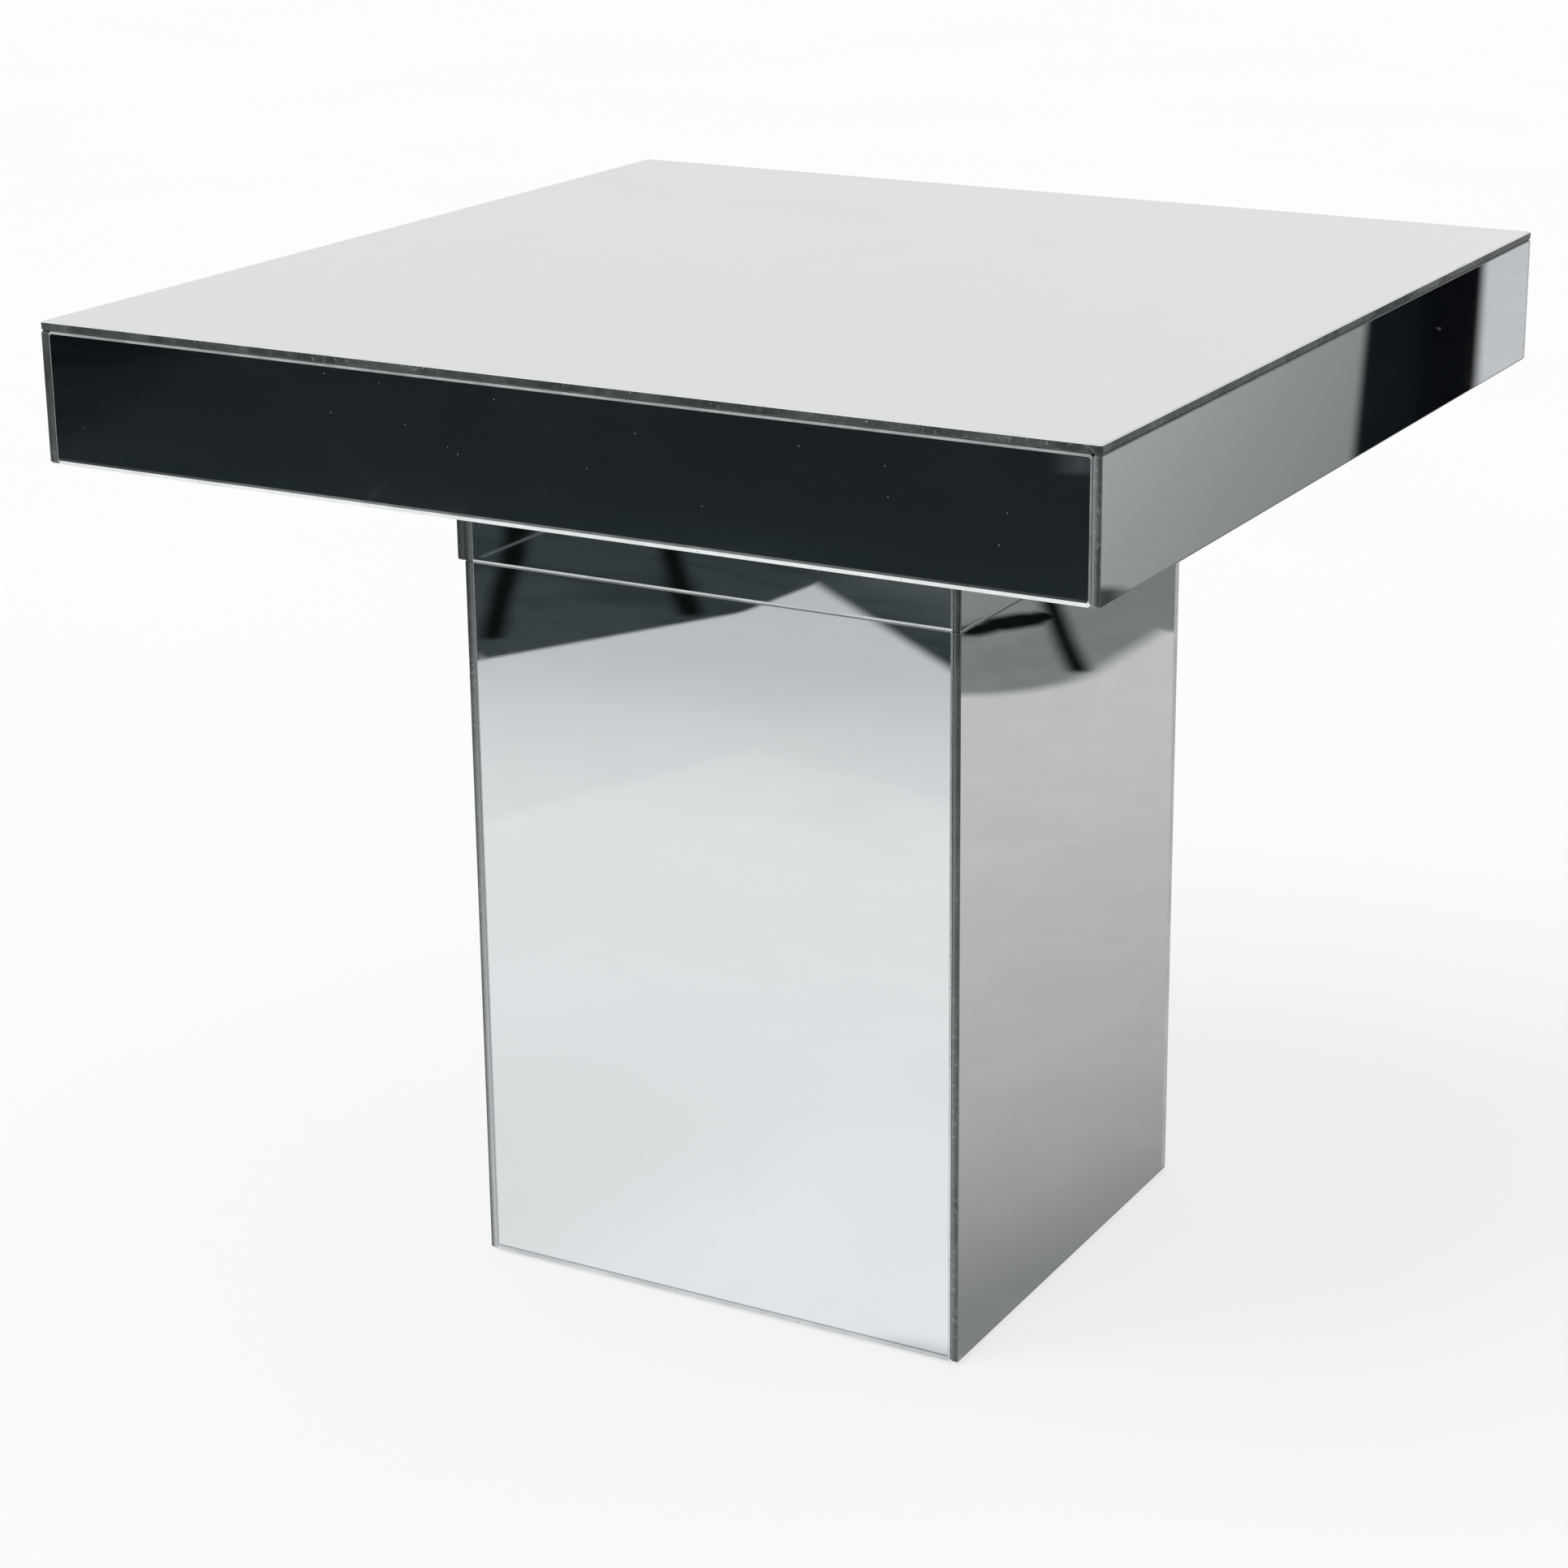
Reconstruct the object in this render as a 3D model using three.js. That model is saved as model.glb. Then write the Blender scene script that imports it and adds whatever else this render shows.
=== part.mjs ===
// A mirrored pedestal table: a thick square top on a narrower plinth, both boxes of board clad in mirror
// glass. The top unit carries a short neck that drops over locating battens on the plinth, so it lifts off.
//
// Millimetres, +Z up. X runs along the front, the front faces -Y, and the origin is on the floor under the
// middle of the table.
import * as THREE from 'three';

// Outer sizes
const TABLE_HEIGHT = 750;
const TOP_SIDE = 800;
const APRON_HEIGHT = 100;
const PLINTH_WIDTH = 404;
const PLINTH_DEPTH = 376;
const SEAM_HEIGHT = 553;

// Stock
const GLASS = 6;
const ARRIS = 1.2;
const BOARD = 18;
const THIN_BOARD = 12;
const CORNER_BATTEN = 30;
const LOCATING_BATTEN = 22;

// Clearances
const GAP = 0.3;
const LOCATING_CLEARANCE = 1.5;
const GLASS_ABOVE_FLOOR = 2;
const WALL_ABOVE_FLOOR = 4;
const BASE_ABOVE_FLOOR = 6;
const UNDERSIDE_RECESS = 1;

// Heights and places of the inner pieces
const MIDDLE_BOARD_HEIGHT = 270;
const LOCATING_HEIGHT = 40;
const CORNER_BLOCK_LEG = 50;
const CORNER_BLOCK_HEIGHT = 50;
const NECK_SCREW_INSET = 15;
const NECK_SCREW_LENGTH = 52;
const LOCATING_SCREW_LENGTH = 53;
const GLIDE_RADIUS = 15;
const GLIDE_CHAMFER = 1;
const GLIDE_INSET = 27;

// Screws: shank radius, head radius and head height
const NECK_SCREW = { shank: 3.5, head: 6.5, headHeight: 4 };
const LOCATING_SCREW = { shank: 2.2, head: 4.5, headHeight: 2.5 };
const ROUND_STEPS = 24;

// Sizes worked out from the ones above. A cladding of glass and its bed take SKIN from each side of a box.
const SKIN = GLASS + GAP;
const TOP_CARCASS = { width: TOP_SIDE - 2 * SKIN, depth: TOP_SIDE - 2 * SKIN };
const COLUMN_GLASS = { width: PLINTH_WIDTH, depth: PLINTH_DEPTH };
const COLUMN_CARCASS = { width: PLINTH_WIDTH - 2 * SKIN, depth: PLINTH_DEPTH - 2 * SKIN };
const COLUMN_INSIDE = { width: COLUMN_CARCASS.width - 2 * BOARD, depth: COLUMN_CARCASS.depth - 2 * BOARD };

const APRON_BOTTOM = TABLE_HEIGHT - APRON_HEIGHT;
const TOP_MIRROR_BOTTOM = TABLE_HEIGHT - GLASS;
const TOP_BOARD_TOP = TOP_MIRROR_BOTTOM - GAP;
const TOP_BOARD_BOTTOM = TOP_BOARD_TOP - BOARD;
const UNDERSIDE_BOTTOM = APRON_BOTTOM + UNDERSIDE_RECESS;
const UNDERSIDE_TOP = UNDERSIDE_BOTTOM + THIN_BOARD;
const NECK_TOP = UNDERSIDE_BOTTOM - GAP;
const NECK_BOTTOM = SEAM_HEIGHT + GAP / 2;
const PLINTH_TOP = SEAM_HEIGHT - GAP / 2;
const CAP_BOTTOM = PLINTH_TOP - BOARD;
const LOCATING_BOTTOM = PLINTH_TOP + GAP;

const mirrorGlass = new THREE.MeshStandardMaterial({ color: 0xdde3e3, roughness: 0.03, metalness: 1.0 });
const fibreboard = new THREE.MeshStandardMaterial({ color: 0x9c7a54, roughness: 0.85, metalness: 0.0 });
const blackBoard = new THREE.MeshStandardMaterial({ color: 0x1d1f20, roughness: 0.6, metalness: 0.0 });
const softwood = new THREE.MeshStandardMaterial({ color: 0xd3ab74, roughness: 0.75, metalness: 0.0 });
const steel = new THREE.MeshStandardMaterial({ color: 0xb4b4b0, roughness: 0.35, metalness: 1.0 });
const nylon = new THREE.MeshStandardMaterial({ color: 0x2a2a2a, roughness: 0.55, metalness: 0.0 });

const FRONT_AND_BACK = [['front', -1], ['back', 1]];
const LEFT_AND_RIGHT = [['left', -1], ['right', 1]];

function addPiece(group, name, geometry, material, x, y, z) {
  const mesh = new THREE.Mesh(geometry, material);
  mesh.name = name;
  mesh.position.set(x, y, z);
  group.add(mesh);
}

// The four corners of a rectangle, each with its name and the signs of its X and Y.
function corners() {
  const list = [];
  for (const [frontOrBack, signY] of FRONT_AND_BACK) {
    for (const [leftOrRight, signX] of LEFT_AND_RIGHT) {
      list.push({ name: `${frontOrBack}_${leftOrRight}`, signX, signY });
    }
  }
  return list;
}

function rectangle(width, height) {
  const shape = new THREE.Shape();
  shape.moveTo(-width / 2, -height / 2);
  shape.lineTo(width / 2, -height / 2);
  shape.lineTo(width / 2, height / 2);
  shape.lineTo(-width / 2, height / 2);
  shape.closePath();
  return shape;
}

function roundHole(x, y, radius) {
  const hole = new THREE.Path();
  hole.absarc(x, y, radius, 0, 2 * Math.PI, true);
  return hole;
}

// A lying sheet of the outline's shape, its middle plane at z = 0.
function sheet(outline, thickness) {
  const options = { depth: thickness, bevelEnabled: false, curveSegments: ROUND_STEPS / 2 };
  return new THREE.ExtrudeGeometry(outline, options).translate(0, 0, -thickness / 2);
}

// A lying pane of mirror glass with a flat 45 degree arris ground along the edges of both faces.
function lyingPane(width, depth) {
  const options = {
    depth: GLASS - 2 * ARRIS,
    bevelEnabled: true,
    bevelThickness: ARRIS,
    bevelSize: ARRIS,
    bevelOffset: -ARRIS,
    bevelSegments: 1,
  };
  return new THREE.ExtrudeGeometry(rectangle(width, depth), options).translate(0, 0, ARRIS - GLASS / 2);
}

// Upright pieces, long in X, thin in Y.
function uprightPane(length, height) {
  return lyingPane(length, height).rotateX(Math.PI / 2);
}

function uprightBoard(length, height, thickness) {
  return new THREE.BoxGeometry(length, thickness, height);
}

// A batten that lies along X with one screw hole down through its middle.
function drilledBatten(length, height, thickness) {
  const outline = rectangle(length, thickness);
  outline.holes.push(roundHole(0, 0, LOCATING_SCREW.shank + GAP));
  return sheet(outline, height);
}

// Four upright pieces round a rectangle of the given outer size. One pair runs through to the corners and
// the other pair fits between it.
function addRing(group, prefix, outer, levels, options) {
  const { thickness, make, material, sidesRunThrough } = options;
  const height = levels.top - levels.bottom;
  const middle = (levels.top + levels.bottom) / 2;
  const between = 2 * (thickness + GAP);
  const frontLength = sidesRunThrough ? outer.width - between : outer.width;
  const sideLength = sidesRunThrough ? outer.depth : outer.depth - between;
  for (const [side, sign] of FRONT_AND_BACK) {
    const geometry = make(frontLength, height, thickness);
    const y = sign * (outer.depth - thickness) / 2;
    addPiece(group, `${prefix}_${side}`, geometry, material, 0, y, middle);
  }
  for (const [side, sign] of LEFT_AND_RIGHT) {
    const geometry = make(sideLength, height, thickness).rotateZ(Math.PI / 2);
    const x = sign * (outer.width - thickness) / 2;
    addPiece(group, `${prefix}_${side}`, geometry, material, x, 0, middle);
  }
}

function addMirrors(group, prefix, outer, levels) {
  const options = { thickness: GLASS, make: uprightPane, material: mirrorGlass, sidesRunThrough: true };
  addRing(group, prefix, outer, levels, options);
}

function addWalls(group, prefix, outer, levels) {
  const options = { thickness: BOARD, make: uprightBoard, material: fibreboard, sidesRunThrough: false };
  addRing(group, prefix, outer, levels, options);
}

// A round-headed screw that points down, with the underside of its head at z = 0.
function screw({ shank, head, headHeight }, length) {
  const point = shank * 2;
  const profile = [
    new THREE.Vector2(0, -length),
    new THREE.Vector2(shank, point - length),
    new THREE.Vector2(shank, 0),
    new THREE.Vector2(head, 0),
    new THREE.Vector2(head, headHeight * 0.5),
    new THREE.Vector2(head * 0.6, headHeight),
    new THREE.Vector2(0, headHeight),
  ];
  return new THREE.LatheGeometry(profile, ROUND_STEPS).rotateX(Math.PI / 2);
}

// The places of the neck screws, one in each inner corner of the neck.
function neckScrewPlaces() {
  const x = COLUMN_INSIDE.width / 2 - NECK_SCREW_INSET;
  const y = COLUMN_INSIDE.depth / 2 - NECK_SCREW_INSET;
  return corners().map(({ name, signX, signY }) => ({ name, x: signX * x, y: signY * y }));
}

function addTopBox(top) {
  const topPane = lyingPane(TOP_SIDE, TOP_SIDE);
  addPiece(top, 'top_mirror', topPane, mirrorGlass, 0, 0, TABLE_HEIGHT - GLASS / 2);
  const apronGlass = { width: TOP_SIDE, depth: TOP_SIDE };
  addMirrors(top, 'apron_mirror', apronGlass, { bottom: APRON_BOTTOM, top: TOP_BOARD_TOP });

  const topBoard = new THREE.BoxGeometry(TOP_CARCASS.width, TOP_CARCASS.depth, BOARD);
  addPiece(top, 'top_board', topBoard, fibreboard, 0, 0, TOP_BOARD_TOP - BOARD / 2);
  addWalls(top, 'apron_rail', TOP_CARCASS, { bottom: UNDERSIDE_TOP + GAP, top: TOP_BOARD_BOTTOM - GAP });

  const underside = rectangle(TOP_CARCASS.width, TOP_CARCASS.depth);
  for (const { x, y } of neckScrewPlaces()) {
    underside.holes.push(roundHole(x, y, NECK_SCREW.shank + GAP));
  }
  const undersideMiddle = UNDERSIDE_BOTTOM + THIN_BOARD / 2;
  addPiece(top, 'underside_board', sheet(underside, THIN_BOARD), blackBoard, 0, 0, undersideMiddle);
}

// Two long ribs and two short ones stand over the neck walls and carry the top board.
function addRibs(top) {
  const height = TOP_BOARD_BOTTOM - UNDERSIDE_TOP - 2 * GAP;
  const middle = (TOP_BOARD_BOTTOM + UNDERSIDE_TOP) / 2;
  const longLength = TOP_CARCASS.depth - 2 * (BOARD + GAP);
  const ribX = (COLUMN_CARCASS.width - BOARD) / 2;
  const ribY = (COLUMN_CARCASS.depth - BOARD) / 2;
  const shortLength = 2 * ribX - BOARD - 2 * GAP;
  for (const [side, sign] of LEFT_AND_RIGHT) {
    const geometry = uprightBoard(longLength, height, BOARD).rotateZ(Math.PI / 2);
    addPiece(top, `rib_${side}`, geometry, fibreboard, sign * ribX, 0, middle);
  }
  for (const [side, sign] of FRONT_AND_BACK) {
    const geometry = uprightBoard(shortLength, height, BOARD);
    addPiece(top, `rib_${side}`, geometry, fibreboard, 0, sign * ribY, middle);
  }
}

function addNeck(top) {
  const levels = { bottom: NECK_BOTTOM, top: NECK_TOP };
  addMirrors(top, 'neck_mirror', COLUMN_GLASS, levels);
  addWalls(top, 'neck_wall', COLUMN_CARCASS, levels);

  // A second strip of mirror covers the neck's left side only.
  const strip = uprightPane(PLINTH_DEPTH, NECK_TOP - NECK_BOTTOM).rotateZ(Math.PI / 2);
  const stripX = -(PLINTH_WIDTH + GLASS) / 2 - GAP;
  addPiece(top, 'neck_cover_strip_left', strip, mirrorGlass, stripX, 0, (NECK_TOP + NECK_BOTTOM) / 2);
}

// A three-cornered block for the corner towards +X and +Y, drilled for its screw. Its square corner is at
// the shape's origin.
function cornerBlock() {
  const outline = new THREE.Shape();
  outline.moveTo(0, 0);
  outline.lineTo(-CORNER_BLOCK_LEG, 0);
  outline.lineTo(0, -CORNER_BLOCK_LEG);
  outline.closePath();
  const drilled = NECK_SCREW_INSET - GAP;
  outline.holes.push(roundHole(-drilled, -drilled, NECK_SCREW.shank + GAP));
  return sheet(outline, CORNER_BLOCK_HEIGHT);
}

function addNeckFixings(top) {
  const blockX = COLUMN_INSIDE.width / 2 - GAP;
  const blockY = COLUMN_INSIDE.depth / 2 - GAP;
  const blockMiddle = NECK_TOP - CORNER_BLOCK_HEIGHT / 2;
  for (const { name, signX, signY } of corners()) {
    // Quarter turns bring the block's square corner into each corner of the neck.
    const turn = signX > 0 ? (signY > 0 ? 0 : -1) : (signY > 0 ? 1 : 2);
    const geometry = cornerBlock().rotateZ(turn * Math.PI / 2);
    addPiece(top, `neck_corner_block_${name}`, geometry, softwood, signX * blockX, signY * blockY, blockMiddle);
  }
  for (const { name, x, y } of neckScrewPlaces()) {
    const geometry = screw(NECK_SCREW, NECK_SCREW_LENGTH);
    addPiece(top, `neck_screw_${name}`, geometry, steel, x, y, UNDERSIDE_TOP + GAP);
  }
}

function addPlinthBox(plinth) {
  addMirrors(plinth, 'plinth_mirror', COLUMN_GLASS, { bottom: GLASS_ABOVE_FLOOR, top: PLINTH_TOP });
  addWalls(plinth, 'plinth_wall', COLUMN_CARCASS, { bottom: WALL_ABOVE_FLOOR, top: CAP_BOTTOM - GAP });

  const insideWidth = COLUMN_INSIDE.width - 2 * GAP;
  const insideDepth = COLUMN_INSIDE.depth - 2 * GAP;
  const base = new THREE.BoxGeometry(insideWidth, insideDepth, BOARD);
  addPiece(plinth, 'base_board', base, blackBoard, 0, 0, BASE_ABOVE_FLOOR + BOARD / 2);

  // The middle board is notched round the corner battens.
  const middleBoard = notchedRectangle(insideWidth, insideDepth, CORNER_BATTEN + GAP);
  addPiece(plinth, 'middle_board', sheet(middleBoard, BOARD), fibreboard, 0, 0, MIDDLE_BOARD_HEIGHT);

  const bottom = BASE_ABOVE_FLOOR + BOARD + GAP;
  const top = CAP_BOTTOM - GAP;
  for (const { name, signX, signY } of corners()) {
    const geometry = new THREE.BoxGeometry(CORNER_BATTEN, CORNER_BATTEN, top - bottom);
    const x = signX * (insideWidth - CORNER_BATTEN) / 2;
    const y = signY * (insideDepth - CORNER_BATTEN) / 2;
    addPiece(plinth, `corner_batten_${name}`, geometry, softwood, x, y, (top + bottom) / 2);
  }
}

function notchedRectangle(width, depth, notch) {
  const x = width / 2;
  const y = depth / 2;
  const inX = x - notch;
  const inY = y - notch;
  const points = [
    [-inX, -y], [inX, -y], [inX, -inY], [x, -inY],
    [x, inY], [inX, inY], [inX, y], [-inX, y],
    [-inX, inY], [-x, inY], [-x, -inY], [-inX, -inY],
  ];
  return new THREE.Shape(points.map(([px, py]) => new THREE.Vector2(px, py)));
}

// The cap closes the plinth. Four battens on it fit inside the neck and keep the top in place.
function addCap(plinth) {
  const locating = {
    width: COLUMN_INSIDE.width - 2 * LOCATING_CLEARANCE,
    depth: COLUMN_INSIDE.depth - 2 * LOCATING_CLEARANCE,
  };
  const screwX = (locating.width - LOCATING_BATTEN) / 2;
  const screwY = (locating.depth - LOCATING_BATTEN) / 2;
  const screws = [['front', 0, -screwY], ['back', 0, screwY], ['left', -screwX, 0], ['right', screwX, 0]];

  const cap = rectangle(COLUMN_CARCASS.width, COLUMN_CARCASS.depth);
  for (const [, x, y] of screws) {
    cap.holes.push(roundHole(x, y, LOCATING_SCREW.shank + GAP));
  }
  addPiece(plinth, 'cap_board', sheet(cap, BOARD), blackBoard, 0, 0, PLINTH_TOP - BOARD / 2);

  const levels = { bottom: LOCATING_BOTTOM, top: LOCATING_BOTTOM + LOCATING_HEIGHT };
  const options = {
    thickness: LOCATING_BATTEN,
    make: drilledBatten,
    material: softwood,
    sidesRunThrough: false,
  };
  addRing(plinth, 'locating_batten', locating, levels, options);
  for (const [side, x, y] of screws) {
    const geometry = screw(LOCATING_SCREW, LOCATING_SCREW_LENGTH);
    addPiece(plinth, `locating_screw_${side}`, geometry, steel, x, y, levels.top + GAP);
  }
}

function addGlides(plinth) {
  const height = BASE_ABOVE_FLOOR - GAP;
  const profile = [
    new THREE.Vector2(0, 0),
    new THREE.Vector2(GLIDE_RADIUS - GLIDE_CHAMFER, 0),
    new THREE.Vector2(GLIDE_RADIUS, GLIDE_CHAMFER),
    new THREE.Vector2(GLIDE_RADIUS, height),
    new THREE.Vector2(0, height),
  ];
  const x = COLUMN_INSIDE.width / 2 - GLIDE_INSET;
  const y = COLUMN_INSIDE.depth / 2 - GLIDE_INSET;
  for (const { name, signX, signY } of corners()) {
    const geometry = new THREE.LatheGeometry(profile, ROUND_STEPS).rotateX(Math.PI / 2);
    addPiece(plinth, `glide_${name}`, geometry, nylon, signX * x, signY * y, 0);
  }
}

const topUnit = new THREE.Group();
addTopBox(topUnit);
addRibs(topUnit);
addNeck(topUnit);
addNeckFixings(topUnit);

const plinthUnit = new THREE.Group();
addPlinthBox(plinthUnit);
addCap(plinthUnit);
addGlides(plinthUnit);

const table = new THREE.Group();
table.add(plinthUnit, topUnit);

export default table;
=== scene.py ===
import math

import bmesh
import bpy
from mathutils import Matrix, Vector


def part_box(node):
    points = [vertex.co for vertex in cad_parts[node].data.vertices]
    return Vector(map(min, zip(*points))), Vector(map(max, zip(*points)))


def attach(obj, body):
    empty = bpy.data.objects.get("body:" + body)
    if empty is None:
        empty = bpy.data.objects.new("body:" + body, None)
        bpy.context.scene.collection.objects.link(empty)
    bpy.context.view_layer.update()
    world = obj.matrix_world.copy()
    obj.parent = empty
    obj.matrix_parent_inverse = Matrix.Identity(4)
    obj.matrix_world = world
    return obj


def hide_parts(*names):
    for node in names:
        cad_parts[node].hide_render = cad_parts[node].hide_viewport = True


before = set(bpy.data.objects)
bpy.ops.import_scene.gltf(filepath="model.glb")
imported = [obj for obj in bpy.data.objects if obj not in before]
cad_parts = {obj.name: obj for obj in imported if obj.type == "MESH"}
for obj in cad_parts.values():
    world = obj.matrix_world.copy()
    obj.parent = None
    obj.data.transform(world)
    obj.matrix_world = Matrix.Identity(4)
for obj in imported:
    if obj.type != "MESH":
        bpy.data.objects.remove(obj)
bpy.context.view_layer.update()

# A pedestal table clad in mirror glass. The CAD model is the frame: its boards, battens, screws and glides
# are shown as they are with their own finishes, and each pane of mirror is rebuilt here with its ground
# arrises, polished edges and painted back. Metres, in the CAD model's frame.

MM = 0.001


def linear(red, green, blue):
    """A colour given as 8-bit display values, as the linear RGBA that the shaders take."""

    def one(value):
        value /= 255
        return value / 12.92 if value <= 0.04045 else ((value + 0.055) / 1.055) ** 2.4

    return (one(red), one(green), one(blue), 1.0)


# ---------------------------------------------------------------------------------------------------------
# Camera

CAMERA_PLACE = Vector((1.2342, -2.2533, 1.2347))
CAMERA_RIGHT = Vector((0.88148, 0.4722, -0.00396))
CAMERA_FORWARD = Vector((-0.45141, 0.84015, -0.30061))
CAMERA_LENS = 81.58
CAMERA_SENSOR = 36
CAMERA_SHIFT = (-0.04865, -0.05487)


def make_camera():
    data = bpy.data.cameras.new("camera")
    data.lens = CAMERA_LENS
    data.sensor_width = CAMERA_SENSOR
    data.shift_x, data.shift_y = CAMERA_SHIFT
    data.clip_end = 200
    camera = bpy.data.objects.new("camera", data)
    forward = CAMERA_FORWARD.normalized()
    right = (CAMERA_RIGHT - forward * CAMERA_RIGHT.dot(forward)).normalized()
    up = right.cross(forward)
    turn = Matrix((right, up, -forward)).transposed()
    camera.matrix_world = Matrix.Translation(CAMERA_PLACE) @ turn.to_4x4()
    bpy.context.scene.collection.objects.link(camera)
    bpy.context.scene.camera = camera


# ---------------------------------------------------------------------------------------------------------
# Short-hand for building node trees


class Shader:
    def __init__(self, tree):
        self.tree = tree
        tree.nodes.clear()

    def node(self, kind, inputs=None, **settings):
        node = self.tree.nodes.new(kind)
        for key, value in settings.items():
            setattr(node, key, value)
        for key, value in (inputs or {}).items():
            self.put(node.inputs[key], value)
        return node

    def put(self, socket, value):
        if isinstance(value, bpy.types.NodeSocket):
            self.tree.links.new(value, socket)
        else:
            socket.default_value = value

    def math(self, operation, a, b=0.0, clamp=False):
        inputs = {0: a} if operation in ("SQRT", "ABSOLUTE") else {0: a, 1: b}
        return self.node("ShaderNodeMath", inputs, operation=operation, use_clamp=clamp).outputs[0]

    def vector_math(self, operation, a, b=(0, 0, 0)):
        node = self.node("ShaderNodeVectorMath", {0: a, 1: b}, operation=operation)
        return node.outputs["Value" if operation in ("LENGTH", "DOT_PRODUCT") else "Vector"]

    def stretch(self, vector, scale):
        return self.node("ShaderNodeMapping", {"Vector": vector, "Scale": scale}).outputs[0]

    def step(self, value, start, end, low=0.0, high=1.0):
        """Rises smoothly from low at start to high at end."""
        inputs = {"Value": value, "From Min": start, "From Max": end, "To Min": low, "To Max": high}
        return self.node("ShaderNodeMapRange", inputs, interpolation_type="SMOOTHSTEP").outputs[0]

    def mix(self, factor, a, b, blend="MIX"):
        node = self.node("ShaderNodeMix", data_type="RGBA", blend_type=blend)
        for socket, value in ((node.inputs[0], factor), (node.inputs[6], a), (node.inputs[7], b)):
            self.put(socket, value)
        return node.outputs[2]

    def noise(self, vector, scale, detail=3.0, roughness=0.5, distortion=0.0):
        inputs = {"Vector": vector, "Scale": scale, "Detail": detail, "Roughness": roughness}
        inputs["Distortion"] = distortion
        return self.node("ShaderNodeTexNoise", inputs).outputs[0]

    def specks(self, vector, scale, size):
        """Scattered round specks: 1 in the middle of each, 0 outside."""
        inputs = {"Vector": vector, "Scale": scale, "Randomness": 1.0}
        distance = self.node("ShaderNodeTexVoronoi", inputs).outputs["Distance"]
        return self.step(distance, size, size * 0.4)

    def ramp(self, value, stops):
        """Colours at places between 0 and 1, straight from one to the next."""
        node = self.node("ShaderNodeValToRGB", {"Fac": value})
        elements = node.color_ramp.elements
        elements.remove(elements[1])
        elements[0].position, elements[0].color = stops[0]
        for position, colour in stops[1:]:
            elements.new(position).color = colour
        return node.outputs[0]

    def place(self):
        return self.node("ShaderNodeTexCoord").outputs["Object"]

    def bump(self, height, strength, distance):
        inputs = {"Height": height, "Strength": strength, "Distance": distance}
        return self.node("ShaderNodeBump", inputs).outputs[0]

    def surface(self, **inputs):
        named = {key.replace("_", " "): value for key, value in inputs.items()}
        shader = self.node("ShaderNodeBsdfPrincipled", named)
        output = self.node("ShaderNodeOutputMaterial")
        self.tree.links.new(shader.outputs[0], output.inputs[0])
        return shader


def new_material(name):
    material = bpy.data.materials.new(name)
    material.use_nodes = True
    return material, Shader(material.node_tree)


# ---------------------------------------------------------------------------------------------------------
# Materials

MIRROR = (0.86, 0.9, 0.9, 1)
FILMED_MIRROR = (0.825, 0.855, 0.85, 1)
RIM = (0.44, 0.47, 0.47, 1)
EDGE_DARK = linear(52, 56, 56)
EDGE_PALE = linear(76, 81, 80)


def mirror_material(name="mirror_glass", clean=MIRROR, filmed=FILMED_MIRROR):
    """Silvered glass with a thin film of wiping marks, finger smears and dust."""
    material, s = new_material(name)
    place = s.place()
    film = s.step(s.noise(place, 5.5, 5, 0.6, 1.4), 0.48, 0.78)
    wipes = s.step(s.noise(s.stretch(place, (3, 3, 22)), 2.2, 4, 0.6, 0.8), 0.5, 0.8)
    smears = s.math("MULTIPLY", s.step(s.noise(place, 17, 3, 0.5, 2.5), 0.60, 0.72), film)
    dust = s.specks(place, 70, 0.035)
    colour = s.mix(s.math("MULTIPLY", film, 0.45), clean, filmed)
    haze = s.math("ADD", s.math("MULTIPLY", film, 0.010), s.math("MULTIPLY", wipes, 0.006))
    haze = s.math("ADD", haze, s.math("MULTIPLY", smears, 0.04))
    roughness = s.math("ADD", haze, s.math("MULTIPLY", dust, 0.25))
    roughness = s.math("ADD", roughness, 0.012, clamp=True)
    matte = s.math("ADD", s.math("MULTIPLY", haze, 0.4), s.math("MULTIPLY", dust, 0.35))
    metallic = s.math("SUBTRACT", 0.998, matte, clamp=True)
    s.surface(Base_Color=colour, Metallic=metallic, Roughness=roughness)
    return material


def edge_material():
    """The glass's polished edge: the dark grey-green of looking into the pane, with chips and smears. Where
    daylight comes through the pane from its far side, the edge is paler towards its back."""
    material, s = new_material("glass_edge")
    place = s.place()
    depth = s.noise(place, 24, 4, 0.6)
    streak = s.noise(s.stretch(place, (1, 1, 0.25)), 60, 3, 0.6)
    colour = s.mix(s.step(depth, 0.3, 0.7), EDGE_DARK, EDGE_PALE)
    colour = s.mix(s.step(streak, 0.5, 0.72, 0, 0.4), colour, linear(104, 109, 107))
    gathered = s.step(s.noise(place, 8, 2), 0.4, 0.6)
    beads = s.math("MULTIPLY", s.step(s.noise(place, 240, 2, 0.6), 0.54, 0.7), gathered)
    colour = s.mix(s.math("MULTIPLY", beads, 0.45), colour, linear(136, 142, 140))
    lit = s.node("ShaderNodeAttribute", attribute_name="lit").outputs["Fac"]
    colour = s.mix(s.step(lit, 0.13, 1.08), colour, linear(196, 201, 203))
    chips = s.specks(place, 130, 0.10)
    colour = s.mix(s.math("MULTIPLY", chips, 0.45), colour, linear(190, 194, 192))
    roughness = s.math("ADD", s.step(depth, 0.3, 0.8, 0.10, 0.28), s.math("MULTIPLY", chips, 0.3))
    s.surface(Base_Color=colour, Roughness=roughness, Normal=s.bump(chips, 0.4, 0.0002))
    return material


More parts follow.
